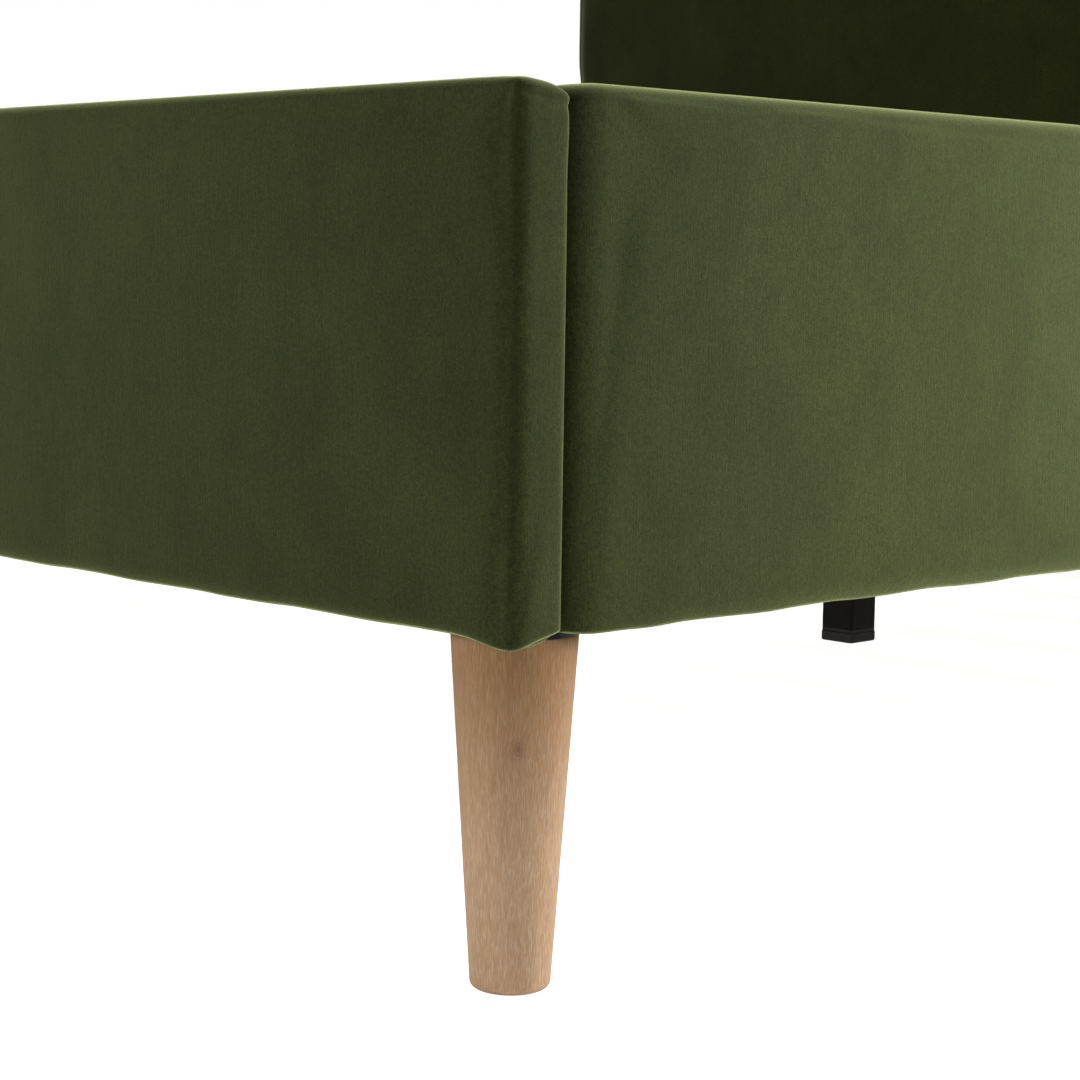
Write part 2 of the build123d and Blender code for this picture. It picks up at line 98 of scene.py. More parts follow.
class BedWoodSettings(bpy.types.PropertyGroup):
    leg: colour_setting("Leg wood", "Wood between the limed pores", (0.48, 0.300, 0.170))
    leg_dark: colour_setting("Leg wood, dark", "Darker grain and the knot", (0.33, 0.185, 0.095))
    lime: colour_setting("Lime", "Pale filler left in the pores", (0.68, 0.53, 0.39))
    pine: colour_setting("Pine", "Slats, ledges and frame timbers", (0.66, 0.47, 0.27))
    pine_dark: colour_setting("Pine, dark", "Late growth in the pine", (0.46, 0.27, 0.12))
    foot_radius: length_setting("Leg foot", "Radius of a leg at the floor", 0.0215)
    foot_round: length_setting("Leg foot rounding", "Rounding round a leg's sole", 0.004)


class BedStageSettings(bpy.types.PropertyGroup):
    camera_place: FloatVectorProperty(
        name="Camera", description="Where the camera stands", default=(1.8848, -1.9227, 0.3812),
        subtype="TRANSLATION", size=3,
    )
    camera_heading: FloatProperty(
        name="Heading", description="Turn of the camera to the left of +Y",
        default=math.radians(45.455), unit="ROTATION",
    )
    camera_tilt: FloatProperty(
        name="Tilt", description="How far the camera looks down",
        default=math.radians(6.319), unit="ROTATION",
    )
    camera_roll: FloatProperty(
        name="Roll", description="Turn of the camera about its own line of sight",
        default=math.radians(0.870), unit="ROTATION",
    )
    lens: FloatProperty(name="Lens", description="Focal length in millimetres", default=82.077, min=1)
    key_power: strength_setting("Key light", "Power of the light by the right side", 21)
    fill_power: strength_setting("Fill light", "Power of the two lights by the foot end", 15.5)
    front_power: strength_setting("Front light", "Power of the low light facing the front right leg", 3)
    left_power: strength_setting("Left light", "Power of the light facing the left side", 18)
    deck_power: strength_setting("Deck light", "Power of the lamp over the slats", 70)
    floor_glow: strength_setting("Floor glow", "Strength of the light off the floor", 0.20)
    back_power: strength_setting("Back light", "Power of the light behind the headboard", 20)
    ambient: strength_setting("Ambient", "Strength of the light from all round", 0.05)
    floor: colour_setting("Floor", "Colour of the floor", (0.86, 0.86, 0.86))


# ---- material helpers ----

def start_material(name):
    """A new material with its node tree, shader and a place in the piece's own coordinates."""
    material = bpy.data.materials.new(f"bed_{name}")
    material.use_nodes = True
    tree = material.node_tree
    shader = tree.nodes["Principled BSDF"]
    place = tree.nodes.new("ShaderNodeTexCoord").outputs["Object"]
    return material, tree, shader, place


def add_node(tree, kind, values=None, **choices):
    """Adds a node, gives values to its named inputs and returns it."""
    node = tree.nodes.new("ShaderNode" + kind)
    for name, value in choices.items():
        setattr(node, name, value)
    for name, value in (values or {}).items():
        if isinstance(value, bpy.types.NodeSocket):
            tree.links.new(value, node.inputs[name])
        else:
            node.inputs[name].default_value = value
    return node


def stretched(tree, place, scale):
    """The place with each axis multiplied, so that a texture is drawn out along the smallest."""
    return add_node(tree, "Mapping", {"Vector": place, "Scale": scale}).outputs["Vector"]


def noise(tree, place, scale, detail=2.0, roughness=0.5, distortion=0.0):
    values = {
        "Vector": place, "Scale": scale, "Detail": detail, "Roughness": roughness, "Distortion": distortion,
    }
    return add_node(tree, "TexNoise", values).outputs["Fac"]


def ranged(tree, value, low, high, to_low=0.0, to_high=1.0):
    """The value rescaled from one range to another, and held inside it."""
    values = {"Value": value, "From Min": low, "From Max": high, "To Min": to_low, "To Max": to_high}
    return add_node(tree, "MapRange", values).outputs["Result"]


def calculate(tree, operation, first, second=0.0):
    node = add_node(tree, "Math", operation=operation)
    for socket, value in zip(node.inputs, (first, second)):
        if isinstance(value, bpy.types.NodeSocket):
            tree.links.new(value, socket)
        else:
            socket.default_value = value
    return node.outputs[0]


def blended(tree, factor, first, second, how="MIX"):
    """Two colours mixed by a factor."""
    node = add_node(tree, "Mix", data_type="RGBA", blend_type=how)
    for socket, value in ((node.inputs[0], factor), (node.inputs[6], first), (node.inputs[7], second)):
        if isinstance(value, bpy.types.NodeSocket):
            tree.links.new(value, socket)
        elif socket.type == "RGBA":
            socket.default_value = (*value[:3], 1)
        else:
            socket.default_value = value
    return node.outputs[2]


def bumped(tree, height, distance, strength, below=None):
    values = {"Height": height, "Distance": distance, "Strength": strength}
    if below is not None:
        values["Normal"] = below
    return add_node(tree, "Bump", values).outputs["Normal"]


def finish_shader(tree, shader, colour, roughness, normal, **constants):
    """Joins the colour, roughness and normal to the shader and sets its constant sockets."""
    tree.links.new(colour, shader.inputs["Base Color"])
    if isinstance(roughness, bpy.types.NodeSocket):
        tree.links.new(roughness, shader.inputs["Roughness"])
    else:
        shader.inputs["Roughness"].default_value = roughness
    tree.links.new(normal, shader.inputs["Normal"])
    for name, value in constants.items():
        shader.inputs[name.replace("_", " ").title().replace("Ior", "IOR")].default_value = value


# ---- finishes ----

def velvet_finish(fabric):
    """Short-pile velvet: dark facing the eye, pale where the pile is seen edge on, with crushed patches."""
    material, tree, shader, place = start_material("velvet")
    slow = noise(tree, place, 5.5, 3.0, 0.55, 0.8)
    patch = noise(tree, place, 24.0, 4.0, 0.62, 0.5)
    streak = noise(tree, stretched(tree, place, (34.0, 34.0, 9.0)), 1.0, 3.0, 0.55, 0.4)
    shares = ((slow, 0.55), (patch, 0.30), (streak, 0.15))
    slow, patch, streak = (calculate(tree, "MULTIPLY", part, share) for part, share in shares)
    lean = calculate(tree, "ADD", calculate(tree, "ADD", slow, patch), streak)
    brushed = ranged(tree, lean, 0.36, 0.64)
    tone = blended(tree, brushed, fabric.velvet, fabric.velvet_light)
    pile = noise(tree, place, 1100.0, 2.0, 0.7)
    thread = noise(tree, stretched(tree, place, (1500.0, 1500.0, 60.0)), 1.0, 1.0, 0.5)
    tuft = noise(tree, place, 420.0, 2.0, 0.6)
    speckle = calculate(
        tree, "MULTIPLY",
        ranged(tree, pile, 0.30, 0.70, 0.62, 1.42), ranged(tree, tuft, 0.32, 0.68, 0.80, 1.22),
    )
    rib = ranged(tree, thread, 0.30, 0.70, 0.92, 1.08)
    for share in (speckle, rib):
        grey = add_node(tree, "CombineColor", {"Red": share, "Green": share, "Blue": share}).outputs[0]
        tone = blended(tree, 1.0, tone, grey, "MULTIPLY")
    normal = bumped(tree, brushed, 0.0010, 0.20)
    normal = bumped(tree, pile, 0.0004, 0.55, normal)
    normal = bumped(tree, thread, 0.0003, 0.35, normal)
    finish_shader(
        tree, shader, tone, 0.92, normal, sheen_weight=1.0, sheen_roughness=0.36,
        sheen_tint=(*fabric.velvet_sheen, 1), specular_ior_level=0.10,
    )
    return material


def backing_finish(fabric):
    """The velvet's raw, woven edge."""
    material, tree, shader, place = start_material("velvet_backing")
    weave = noise(tree, stretched(tree, place, (900.0, 900.0, 250.0)), 1.0, 2.0, 0.6)
    dark = [c * 0.45 for c in fabric.velvet_backing]
    tone = blended(tree, ranged(tree, weave, 0.35, 0.65), dark, fabric.velvet_backing)
    normal = bumped(tree, weave, 0.0004, 0.8)
    finish_shader(tree, shader, tone, 0.9, normal, sheen_weight=0.3, sheen_roughness=0.5)
    return material


def lining_finish(fabric):
    """Black non-woven cloth with its pressed dots and stray fibres."""
    material, tree, shader, place = start_material("black_lining")
    dots = add_node(
        tree, "TexVoronoi", {"Vector": place, "Scale": 420.0, "Randomness": 0.25},
    ).outputs["Distance"]
    fibres = noise(tree, place, 700.0, 3.0, 0.7, 1.5)
    pale = [min(1, c * 3.2 + 0.006) for c in fabric.lining]
    tone = blended(tree, ranged(tree, fibres, 0.42, 0.72), fabric.lining, pale)
    normal = bumped(tree, ranged(tree, dots, 0.1, 0.5), 0.0003, 0.7)
    normal = bumped(tree, fibres, 0.0002, 0.4, normal)
    finish_shader(tree, shader, tone, 0.88, normal, sheen_weight=0.15, specular_ior_level=0.25)
    return material


def webbing_finish(fabric):
    """Woven polyester tape: ribs across it and fine yarns along it."""
    material, tree, shader, place = start_material("webbing")
    ribs, yarns = (
        add_node(
            tree, "TexWave", {"Vector": place, "Scale": scale, "Distortion": distortion, "Detail": 1.0},
            bands_direction=axis,
        ).outputs["Fac"]
        for scale, distortion, axis in ((260.0, 0.4, "Y"), (400.0, 0.6, "X"))
    )
    pale = [min(1, c * 2.4) for c in fabric.webbing]
    tone = blended(tree, calculate(tree, "MULTIPLY", ribs, yarns), fabric.webbing, pale)
    normal = bumped(tree, ribs, 0.0004, 0.8)
    normal = bumped(tree, yarns, 0.0002, 0.6, normal)
    finish_shader(tree, shader, tone, 0.7, normal, sheen_weight=0.25)
    return material


# Painted shade on the legs' tops: the wood colour is multiplied by this colour from 75 mm up to 175 mm above
# the floor, standing for the shadow under the panels.
LEG_PAINTED_SHADE = (0.62, 0.52, 0.38)
LEG_PAINTED_SHADE_STARTS = 0.075
LEG_PAINTED_SHADE_FULL = 0.175
KNOT_FROM_AXIS = 0.0300


def limed_finish(wood, name, knot_height):
    """Straight-grained hardwood: lime in its pores, one small knot on the +X side, and painted shade
    darkening it towards its top.
    """
    material, tree, shader, place = start_material(name)
    knot = (KNOT_FROM_AXIS, 0.0, knot_height)
    offset = add_node(tree, "VectorMath", {0: place, 1: knot}, operation="SUBTRACT").outputs["Vector"]
    oval = stretched(tree, offset, (60.0, 190.0, 125.0))
    apart = add_node(tree, "VectorMath", {0: oval}, operation="LENGTH").outputs["Value"]
    closeness = ranged(tree, apart, 2.6, 0.0)
    bend = calculate(tree, "MULTIPLY", closeness, 0.0035)
    bend = add_node(tree, "CombineXYZ", {"Y": bend}).outputs["Vector"]
    bent = add_node(tree, "VectorMath", {0: place, 1: bend}, operation="ADD").outputs["Vector"]
    sway = noise(tree, stretched(tree, place, (22.0, 22.0, 9.0)), 1.0, 2.0, 0.5)
    sway = calculate(tree, "MULTIPLY", sway, 0.004)
    sway = add_node(tree, "CombineXYZ", {"X": sway}).outputs["Vector"]
    bent = add_node(tree, "VectorMath", {0: bent, 1: sway}, operation="ADD").outputs["Vector"]
    broad = noise(tree, stretched(tree, bent, (55.0, 55.0, 4.0)), 1.0, 3.0, 0.55, 0.3)
    fine = noise(tree, stretched(tree, bent, (650.0, 650.0, 30.0)), 1.0, 3.0, 0.6, 0.4)
    pores = noise(tree, stretched(tree, bent, (1700.0, 1700.0, 95.0)), 1.0, 2.0, 0.6, 0.5)
    tone = blended(tree, ranged(tree, broad, 0.30, 0.70), wood.leg_dark, wood.leg)
    tone = blended(tree, 0.55, tone, wood.leg)
    tone = blended(tree, ranged(tree, fine, 0.40, 0.72, 0.0, 0.42), tone, wood.leg_dark)
    tone = blended(tree, ranged(tree, pores, 0.45, 0.70, 0.0, 0.55), tone, wood.lime)
    # Painted shade: the wood darkens towards the leg's top, standing for the shadow the panel casts on it.
    height = add_node(tree, "SeparateXYZ", {"Vector": place}).outputs["Z"]
    tone = blended(tree, ranged(tree, height, LEG_PAINTED_SHADE_STARTS, LEG_PAINTED_SHADE_FULL), tone, LEG_PAINTED_SHADE, "MULTIPLY")
    rings = add_node(
        tree, "TexWave", {"Vector": oval, "Scale": 1.1, "Distortion": 2.0, "Detail": 2.0},
        wave_type="RINGS",
    ).outputs["Fac"]
    core = calculate(
        tree, "MULTIPLY", ranged(tree, apart, 1.00, 0.15), ranged(tree, rings, 0.1, 0.9, 0.6, 1.0),
    )
    tone = blended(tree, core, tone, [c * 0.68 for c in wood.leg_dark])
    rough = ranged(tree, pores, 0.35, 0.70, 0.46, 0.66)
    normal = bumped(tree, pores, 0.0003, 0.45)
    normal = bumped(tree, fine, 0.0003, 0.25, normal)
    finish_shader(tree, shader, tone, rough, normal, specular_ior_level=0.22)
    return material


def pine_finish(wood, name, run, sawn):
    """Softwood with its growth lines along one axis: planed on the slats, sawn on the frame."""
    material, tree, shader, place = start_material(name)
    along = Vector((1, 1, 1)) - Vector(run)
    lines, hairs = (
        stretched(tree, place, tuple(wide * a + drawn * r for a, r in zip(along, run)))
        for wide, drawn in ((95.0, 2.5), (1300.0, 30.0))
    )
    growth = noise(tree, lines, 1.0, 3.0, 0.55, 0.6)
    fibres = noise(tree, hairs, 1.0)
    cloud = noise(tree, place, 6.0, 2.0)
    tone = blended(tree, ranged(tree, growth, 0.38, 0.66), wood.pine, wood.pine_dark)
    tone = blended(tree, 0.45, tone, wood.pine)
    dull = [c * 0.82 for c in wood.pine]
    tone = blended(tree, ranged(tree, cloud, 0.35, 0.70, 0.0, 0.5), tone, dull)
    tone = blended(tree, ranged(tree, fibres, 0.35, 0.75, 0.0, 0.35), tone, wood.pine_dark)
    normal = bumped(tree, fibres, 0.0006 if sawn else 0.0002, 0.6)
    normal = bumped(tree, growth, 0.0004, 0.3, normal)
    finish_shader(tree, shader, tone, 0.72 if sawn else 0.55, normal, specular_ior_level=0.3)
    return material


def powder_finish():
    """Satin black powder coat with its fine orange peel."""
    material, tree, shader, place = start_material("black_steel")
    peel = noise(tree, place, 620.0, 2.0, 0.5)
    dust = noise(tree, place, 90.0, 3.0, 0.6)
    tone = blended(tree, ranged(tree, dust, 0.40, 0.75), (0.0030, 0.0030, 0.0031), (0.0065, 0.0065, 0.0066))
    rough = ranged(tree, dust, 0.3, 0.7, 0.40, 0.52)
    finish_shader(tree, shader, tone, rough, bumped(tree, peel, 0.0002, 0.5), specular_ior_level=0.15)
    return material


def zinc_finish():
    """Zinc plating with faint drawn marks and bluish and straw tints."""
    material, tree, shader, place = start_material("zinc_steel")
    marks = noise(tree, stretched(tree, place, (900.0, 900.0, 120.0)), 1.0, 2.0)
    tint = noise(tree, place, 130.0, 2.0)
    tone = blended(tree, ranged(tree, tint, 0.35, 0.65), (0.55, 0.56, 0.58), (0.66, 0.63, 0.55))
    rough = ranged(tree, marks, 0.3, 0.7, 0.26, 0.46)
    finish_shader(tree, shader, tone, rough, bumped(tree, marks, 0.0001, 0.4), metallic=1.0)
    return material


def plastic_finish():
    """Moulded black plastic with a spark-eroded texture."""
    material, tree, shader, place = start_material("black_plastic")
    grain = noise(tree, place, 1300.0, 2.0, 0.6)
    scuff = noise(tree, place, 150.0, 3.0, 0.6)
    tone = blended(tree, ranged(tree, scuff, 0.45, 0.75), (0.012, 0.012, 0.012), (0.026, 0.026, 0.026))
    rough = ranged(tree, scuff, 0.35, 0.7, 0.48, 0.62)
    finish_shader(tree, shader, tone, rough, bumped(tree, grain, 0.0001, 0.6), specular_ior_level=0.45)
    return material


def made_before(name):
    """A finish that an earlier operator made."""
    return bpy.data.materials[f"bed_{name}"]


def give_finish(obj, *materials):
    obj.data.materials.clear()
    for material in materials:
        obj.data.materials.append(material)


# ---- mesh helpers ----

def new_piece(name, points, faces, matrix=None):
    """A smooth-shaded mesh object in the scene."""
    mesh = bpy.data.meshes.new(name)
    mesh.from_pydata([tuple(p) for p in points], [], [tuple(f) for f in faces])
    mesh.validate()
    mesh.shade_smooth()
    obj = bpy.data.objects.new(name, mesh)
    bpy.context.scene.collection.objects.link(obj)
    if matrix is not None:
        obj.matrix_world = matrix
    bpy.context.view_layer.update()
    return obj


def read_points(mesh):
    points = np.empty(len(mesh.vertices) * 3, np.float32)
    mesh.vertices.foreach_get("co", points)
    return points.reshape(-1, 3).astype(float)


def write_points(mesh, points):
    mesh.vertices.foreach_set("co", points.astype(np.float32).ravel())
    mesh.update()


def settle_into_world(obj):
    """Moves a mesh's own place into its points, so that its textures run on in the bed's frame."""
    obj.data.transform(obj.matrix_world)
    obj.matrix_world = Matrix.Identity(4)


def graded(start, end, fine, coarse, growth=0.22):
    """Places between two ends, close together near both and further apart in the middle."""
    half = (end - start) / 2
    steps = [0.0]
    while steps[-1] < half:
        steps.append(steps[-1] + min(coarse, fine + growth * steps[-1]))
    left = np.array(steps) * half / steps[-1]
    return np.concatenate([start + left, end - left[-2::-1]])


def stations(low, high, round_low, round_high, fine, coarse):
    """Places along one axis of a rounded block, with an even fan of places over each rounding."""
    fan = np.tan(np.radians([45.0, 30.0, 15.0]))
    inside = graded(low + round_low, high - round_high, fine, coarse)
    return np.concatenate([low + round_low * (1 - fan), inside, high - round_high * (1 - fan[::-1])])


def shell_of(places):
    """The points and four-sided faces of a closed box, divided at the places given for each axis."""
    counts = tuple(len(p) for p in places)
    spots = np.indices(counts)
    rim = np.zeros(counts, bool)
    for axis, count in enumerate(counts):
        rim |= (spots[axis] == 0) | (spots[axis] == count - 1)
    number = np.full(counts, -1)
    number[rim] = np.arange(rim.sum())
    points = np.stack([places[axis][spots[axis][rim]] for axis in range(3)], axis=1)
    faces = []
    for axis in range(3):
        for end in (0, -1):
            side = np.take(number, end, axis=axis)
            corners = [side[:-1, :-1], side[1:, :-1], side[1:, 1:], side[:-1, 1:]]
            quads = np.stack(corners, -1).reshape(-1, 4)
            turned = (end == 0) != (axis == 1)
            faces.append(quads[:, ::-1] if turned else quads)
    return points, np.concatenate(faces)


def rounded_shell(low, high, round_low, round_high, fine, coarse):
    """A closed block whose edges are rounded by a radius of its own on each side."""
    low, high, round_low, round_high = (np.array(v, float) for v in (low, high, round_low, round_high))
    places = [stations(low[a], high[a], round_low[a], round_high[a], fine[a], coarse[a]) for a in range(3)]
    points, faces = shell_of(places)
    offset = points - np.clip(points, low + round_low, high - round_high)
    radius = np.where(offset < 0, round_low, round_high)
    scaled = offset / radius
    length = np.maximum(np.linalg.norm(scaled, axis=1, keepdims=True), 1e-9)
    return points - offset + scaled / length * radius, faces


def near(distance, width):
    """1 at no distance, falling smoothly to nothing."""
    return np.exp(-(np.asarray(distance) / width) ** 2)


def eased(value):
    value = np.clip(value, 0, 1)
    return value * value * (3 - 2 * value)


def refine(obj):
    """One subdivision, made part of the mesh."""
    modifier = obj.modifiers.new("Smooth", "SUBSURF")
    modifier.levels = modifier.render_levels = 1
    graph = bpy.context.evaluated_depsgraph_get()
    smooth = bpy.data.meshes.new_from_object(obj.evaluated_get(graph))
    obj.modifiers.remove(modifier)
    old = obj.data
    obj.data = smooth
    smooth.name = obj.name
    bpy.data.meshes.remove(old)
    obj.data.shade_smooth()


PADDING_STEPS = 20
VELVET_CLOTH = {
    "quality": 4, "mass": 0.35, "tension_stiffness": 25, "compression_stiffness": 25,
    "shear_stiffness": 10, "bending_stiffness": 2, "use_pressure": True, "uniform_pressure_force": 4,
}


def inflate(obj, stapled, most):
    """Lets padding push the velvet out between the places where it is stapled, by no more than a limit."""
    scene = bpy.context.scene
    before = read_points(obj.data)
    outward = np.array([v.normal for v in obj.data.vertices])
    group = obj.vertex_groups.new(name="stapled")
    group.add([int(i) for i in np.flatnonzero(stapled)], 1.0, "REPLACE")
    cloth = obj.modifiers.new("Padding", "CLOTH")
    for name, value in VELVET_CLOTH.items():
        setattr(cloth.settings, name, value)
    cloth.settings.effector_weights.gravity = 0
    cloth.settings.vertex_group_mass = group.name
    cloth.collision_settings.use_collision = False
    cloth.point_cache.frame_start = 1
    cloth.point_cache.frame_end = PADDING_STEPS
    for step in range(1, PADDING_STEPS + 1):
        scene.frame_set(step)
    settled = obj.evaluated_get(bpy.context.evaluated_depsgraph_get())
    moved = read_points(settled.data) - before
    moved = outward * np.maximum((moved * outward).sum(axis=1, keepdims=True), 0)
    obj.modifiers.remove(cloth)
    obj.vertex_groups.remove(group)
    scene.frame_set(1)
    far = np.maximum(np.linalg.norm(moved, axis=1, keepdims=True), 1e-9)
    write_points(obj.data, before + moved / far * most * np.tanh(far / most))


# ---- padded panels ----

class PanelPlace:
    """Where a padded panel stands: first axis along it, second from its outer face inwards, third up."""

    def __init__(self, node, along, inwards):
        low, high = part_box(node)
        size = high - low
        self.length = abs(size.dot(along))
        self.thickness = abs(size.dot(inwards))
        self.height = size.z
        corner = (low + high) / 2 - inwards * self.thickness / 2 - UP * self.height / 2
        axes = Matrix((along, inwards, UP)).transposed().to_4x4()
        self.matrix = Matrix.Translation(corner) @ axes


def panel_places():
    return {
        "footboard": PanelPlace("footboard_cover", Vector((1, 0, 0)), Vector((0, 1, 0))),
        "right_rail": PanelPlace("right_rail_cover", Vector((0, 1, 0)), Vector((-1, 0, 0))),
        "left_rail": PanelPlace("left_rail_cover", Vector((0, -1, 0)), Vector((1, 0, 0))),
        "headboard": PanelPlace("headboard_cover", Vector((1, 0, 0)), Vector((0, 1, 0))),
    }


# Bands of a panel's block where the velvet is stapled down.
BACK_BAND = 0.001
BOTTOM_BAND = 0.0002
END_BAND = 0.0005


def start_panel(name, place, low, high, round_low, round_high, fine, coarse):
    """The panel's block, drawn a little small on the padded sides, before the padding swells."""
    points, faces = rounded_shell(low, high, round_low, round_high, fine, coarse)
    return new_piece(name, points, faces, place.matrix)


def finish_panel(obj, node):
    settle_into_world(obj)
    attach(obj, "root")
    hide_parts(f"{node}_cover", f"{node}_foam")


# How far the velvet moves at the footboard's hand-folded ends.
POINT_DROP = 0.0036
EDGE_LIFT = 0.0030
FOLD_BELOW_TOP = 0.0062
FOLD_SLOPE = 0.0030
CREASE_DEPTH = 0.0022
FLAP_RISE = 0.0007
TUCK_DEPTH = 0.0016
ROLL_INWARDS = 0.0034
ROLL_SIDEWAYS = 0.0014
TOP_DROP = 0.0050
KNUCKLE_RISE = 0.0008


def shape_foot_corners(points, rest, place):
    """The ends of the footboard: a shallow crease on top, a hanging point and a lifted edge below."""
    height = place.height
    thickness = place.thickness
    for side in (-1, 1):
        from_end = place.length / 2 - side * rest[:, 0]
        across = rest[:, 1]
        up = rest[:, 2]
        on_end = near(from_end, 0.009)
        low_point = near(from_end - 0.009, 0.016) * near(across - 0.003, 0.013) * near(up, 0.013)
        points[:, 2] -= POINT_DROP * low_point
        lifted = near(from_end, 0.016) * eased((across - 0.010) / (thickness - 0.010)) * near(up, 0.016)
        points[:, 2] += EDGE_LIFT * lifted
        fold = height - FOLD_BELOW_TOP - FOLD_SLOPE * across / thickness
        crease = near(up - fold, 0.0011) * on_end * eased((across - 0.001) / 0.006)
        points[:, 0] -= side * CREASE_DEPTH * crease
        flap = near(up - fold - 0.0028, 0.0022) * on_end * eased(across / 0.006)
        points[:, 0] += side * FLAP_RISE * flap
        tuck = near(from_end - 0.007 - 0.35 * (height - up), 0.0022) * near(up - height + 0.008, 0.008)
        points[:, 1] += TUCK_DEPTH * tuck * near(across, 0.006)
        roll = eased((across - thickness + 0.012) / 0.010) * near(from_end, 0.0065)
        points[:, 1] += ROLL_INWARDS * roll
        points[:, 0] += side * ROLL_SIDEWAYS * roll
        inner_share = (across / thickness) ** 1.2
        points[:, 2] -= TOP_DROP * near(from_end, 0.016) * inner_share * near(up - height, 0.020)
        knuckle = near(up - height + 0.024, 0.012) - 0.6 * near(up - height + 0.050, 0.014)
        points[:, 1] += KNUCKLE_RISE * knuckle * on_end * eased((across - thickness + 0.012) / 0.012)


def uneven_bottom(points, rest, amount, reach):
    """The slight waves of velvet pulled under a panel and stapled by hand."""
    along = rest[:, 0]
    waves = np.sin(along * 61 + 0.7) + 0.6 * np.sin(along * 143 + 2.1) + 0.4 * np.sin(along * 23)
    points[:, 2] += amount * waves / 2 * near(rest[:, 2], reach)


FLAP_STEPS = 14
FLAP_WIDTH = 0.010
FLAP_THICKNESS = 0.0009


def raw_flap(obj, place):
    """The thin raw edge of velvet left hanging under each end of the footboard."""
    body = bmesh.new()
    body.from_mesh(obj.data)
    for side in (-1, 1):
        rows = []
        for i in range(FLAP_STEPS + 1):
            t = i / FLAP_STEPS
            across = 0.004 + t * (place.thickness - 0.012)
            hang = -0.0012 - 0.0036 * math.sin(math.pi * t) ** 0.8 + 0.0022 * t
            edge = side * (place.length / 2 - 0.0035 - 0.0015 * math.sin(math.pi * t))
            inner = edge - side * FLAP_WIDTH
            row = ((edge, hang), (edge, hang + FLAP_THICKNESS), (inner, 0.0012), (inner, 0.0003))
            rows.append([body.verts.new((x, across, z)) for x, z in row])
        for first, second in zip(rows, rows[1:]):
            for k in range(4):
                quad = [first[k], first[(k + 1) % 4], second[(k + 1) % 4], second[k]]
                face = body.faces.new(quad if side < 0 else quad[::-1])
                face.material_index = 1
                face.smooth = True
        for row in (rows[0], rows[-1]):
            body.faces.new(row).material_index = 1
    bmesh.ops.recalc_face_normals(body, faces=body.faces)
    body.to_mesh(obj.data)
    body.free()


def build_footboard(fabric):
    place = panel_places()["footboard"]
    half = place.length / 2
    swell = fabric.swell
    end = fabric.corner_round
    edge = fabric.edge_round
    low = (-half + 0.0010, swell * 0.5, -0.0021)
    high = (half - 0.0010, place.thickness - 0.0002, place.height + 0.0014)
    obj = start_panel(
        "footboard_velvet", place, low, high, (end, 0.0105, 0.0035), (end, 0.0140, edge),
        (0.0035, 0.004, 0.0022), (0.020, 0.005, 0.015),
    )
    rest = read_points(obj.data)
    inflate(obj, (rest[:, 1] > place.thickness - BACK_BAND) | (rest[:, 2] < BOTTOM_BAND), swell)
    points = read_points(obj.data)
    shape_foot_corners(points, rest, place)
    uneven_bottom(points, rest, 0.0009, 0.008)
    write_points(obj.data, points)
    refine(obj)
    give_finish(obj, velvet_finish(fabric), backing_finish(fabric))
    raw_flap(obj, place)
    finish_panel(obj, "footboard")


RAIL_END_GAP = 0.0022
RAIL_CROWN = 0.0016
RAIL_CORNER_DROP = 0.0035


def build_rail(name, fabric):
    place = panel_places()[name]
    half = place.length / 2 - RAIL_END_GAP
    swell = fabric.swell
    edge = fabric.edge_round
    low = (-half, swell * 0.5, -0.0021)
    high = (half, place.thickness - 0.0002, place.height + 0.0007)
    obj = start_panel(
        f"{name}_velvet", place, low, high, (0.022, 0.0125, 0.0035), (0.022, edge, edge * 1.5),
        (0.0035, 0.004, 0.0030), (0.020, 0.005, 0.015),
    )
    rest = read_points(obj.data)
    stapled = (rest[:, 1] > place.thickness - BACK_BAND) | (rest[:, 2] < BOTTOM_BAND)
    stapled |= abs(rest[:, 0]) > half - END_BAND
    inflate(obj, stapled, swell)
    points = read_points(obj.data)
    bow = 1 - (rest[:, 0] / half) ** 2
    points[:, 2] += RAIL_CROWN * bow * eased((rest[:, 2] / place.height - 0.5) * 2)
    from_end = half - abs(rest[:, 0])
    points[:, 2] -= RAIL_CORNER_DROP * near(from_end, 0.010) * near(rest[:, 2] - place.height, 0.020)
    uneven_bottom(points, rest, 0.0011, 0.010)
    write_points(obj.data, points)
    refine(obj)
    give_finish(obj, made_before("velvet"))
    finish_panel(obj, name)


def widen_headboard(points, rest, place, fabric, narrow):
    """The headboard's padding stands a little wider above the mattress."""
    bottom = place.matrix.translation.z
    rise = fabric.widening_top - fabric.widening_bottom
    share = eased((rest[:, 2] + bottom - fabric.widening_bottom) / rise)
    step = place.length / 2 - narrow
    near_side = eased((abs(rest[:, 0]) - narrow + 0.10) / 0.10)
    points[:, 0] += np.sign(rest[:, 0]) * step * share * near_side


BEHIND_RAILS = 0.29


